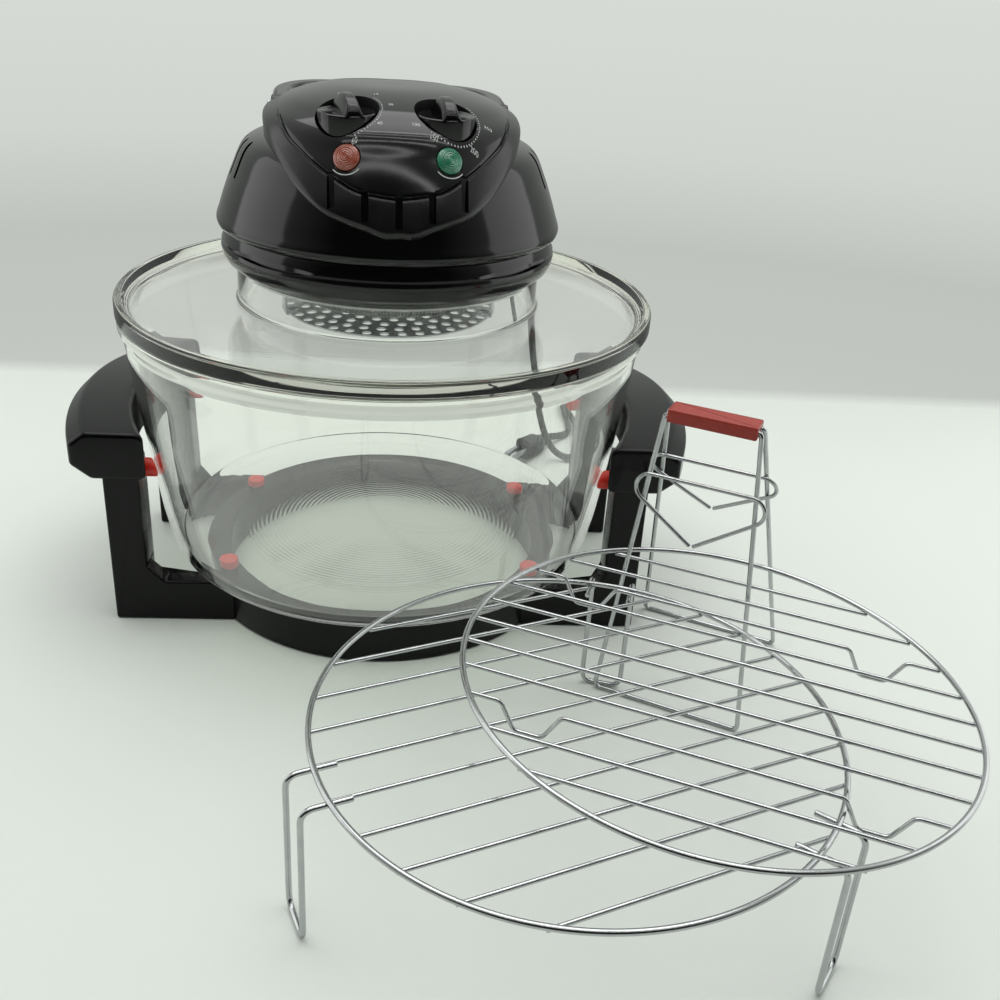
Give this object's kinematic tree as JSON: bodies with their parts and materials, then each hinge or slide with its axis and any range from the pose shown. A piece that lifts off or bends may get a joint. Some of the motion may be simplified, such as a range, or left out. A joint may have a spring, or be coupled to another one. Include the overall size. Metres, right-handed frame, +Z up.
{
  "type": "halogen convection oven with glass bowl",
  "caption": "Round glass bowl oven on a black stand, its lift-off glass lid carrying a heating head with two knobs, with wire racks and lifting tongs.",
  "frame": {"origin": "centre of the footprint of everything but the mains cord, on the table", "axes": "+Z up, +X to the right of someone facing the control panel, +Y away from them"},
  "size_m": [0.5128, 0.7485, 0.3385],
  "materials": {
    "black_plastic": "gloss",
    "red_silicone": "satin",
    "clear_glass": "polished",
    "grey_panel": "gloss",
    "amber_lens": "gloss",
    "green_lens": "gloss",
    "steel": "satin",
    "aluminium": "satin",
    "heater_tube": "polished",
    "ceramic": "matt",
    "cord_rubber": "satin",
    "chromed_wire": "polished",
    "red_paint": "gloss"
  },
  "bodies": {
    "stand": {"base_ring": "black_plastic", "handle_left": "black_plastic", "leg_front_left": "black_plastic", "side_pad_front_left": "red_silicone", "base_pad_front_left": "red_silicone", "leg_rear_left": "black_plastic", "side_pad_rear_left": "red_silicone", "base_pad_rear_left": "red_silicone", "handle_right": "black_plastic", "leg_front_right": "black_plastic", "side_pad_front_right": "red_silicone", "base_pad_front_right": "red_silicone", "leg_rear_right": "black_plastic", "side_pad_rear_right": "red_silicone", "base_pad_rear_right": "red_silicone"},
    "bowl": {"glass_bowl": "clear_glass"},
    "lid": {"glass_lid": "clear_glass", "collar_ring": "black_plastic", "head_housing": "black_plastic", "control_panel": "grey_panel", "power_lamp": "amber_lens", "heat_lamp": "green_lens", "handle_pin_left": "steel", "handle_pin_right": "steel", "motor_deck": "steel", "fan_motor": "steel", "reflector_pan": "aluminium", "heater_tube": "heater_tube", "heater_socket": "ceramic", "heater_guard": "steel", "guard_bracket_1": "steel", "guard_bracket_2": "steel", "guard_bracket_3": "steel", "strain_relief": "cord_rubber", "cord": "cord_rubber", "cord_hank": "cord_rubber", "plug": "cord_rubber"},
    "timer": {"timer_knob": "black_plastic"},
    "thermostat": {"thermostat_knob": "black_plastic"},
    "bail": {"carry_handle": "black_plastic"},
    "rotor": {"fan_shaft": "steel", "cooling_fan": "aluminium", "convection_fan": "aluminium"},
    "high_rack_body": {"high_rack": "chromed_wire"},
    "low_rack_body": {"low_rack": "chromed_wire"},
    "tongs_front": {"tong_grip": "red_paint", "tong_frame_front": "chromed_wire"},
    "tongs_rear": {"tong_frame_rear": "chromed_wire"}
  },
  "joints": [
    {"name": "bowl_lift", "type": "slide", "parent": "stand", "child": "bowl", "axis": [0, 0, 1], "range_m": [0, 0.25]},
    {"name": "lid_lift", "type": "slide", "parent": "bowl", "child": "lid", "axis": [0, 0, 1], "range_m": [0, 0.3]},
    {"name": "timer_turn", "type": "hinge", "parent": "lid", "child": "timer", "pos_m": [-0.07162, 0.05711, 0.32813], "axis": [-0.004, 0.0522, -0.9986], "range_deg": [0, 300]},
    {"name": "thermostat_turn", "type": "hinge", "parent": "lid", "child": "thermostat", "pos_m": [-0.01658, 0.06134, 0.32813], "axis": [-0.004, 0.0522, -0.9986], "range_deg": [0, 270]},
    {"name": "carry_fold", "type": "hinge", "parent": "lid", "child": "bail", "pos_m": [-0.04912, 0.12453, 0.3215], "axis": [0.9971, 0.0767, 0], "range_deg": [0, 86]},
    {"name": "fan_spin", "type": "hinge", "parent": "lid", "child": "rotor", "pos_m": [-0.04866, 0.11855, 0.25], "axis": [0, 0, 1], "continuous": true},
    {"name": "high_rack_lift", "type": "slide", "parent": "stand", "child": "high_rack_body", "axis": [0, 0, 1], "range_m": [0, 0.015]},
    {"name": "low_rack_lift", "type": "slide", "parent": "high_rack_body", "child": "low_rack_body", "axis": [0, 0, 1], "range_m": [0, 0.015]},
    {"name": "tongs_lift", "type": "slide", "parent": "low_rack_body", "child": "tongs_front", "axis": [0, 0, 1], "range_m": [0, 0.01]},
    {"name": "tongs_squeeze", "type": "hinge", "parent": "tongs_front", "child": "tongs_rear", "pos_m": [0.13823, -0.03077, 0.1865], "axis": [-0.8829, 0.4695, 0], "range_deg": [0, 7]}
  ]
}
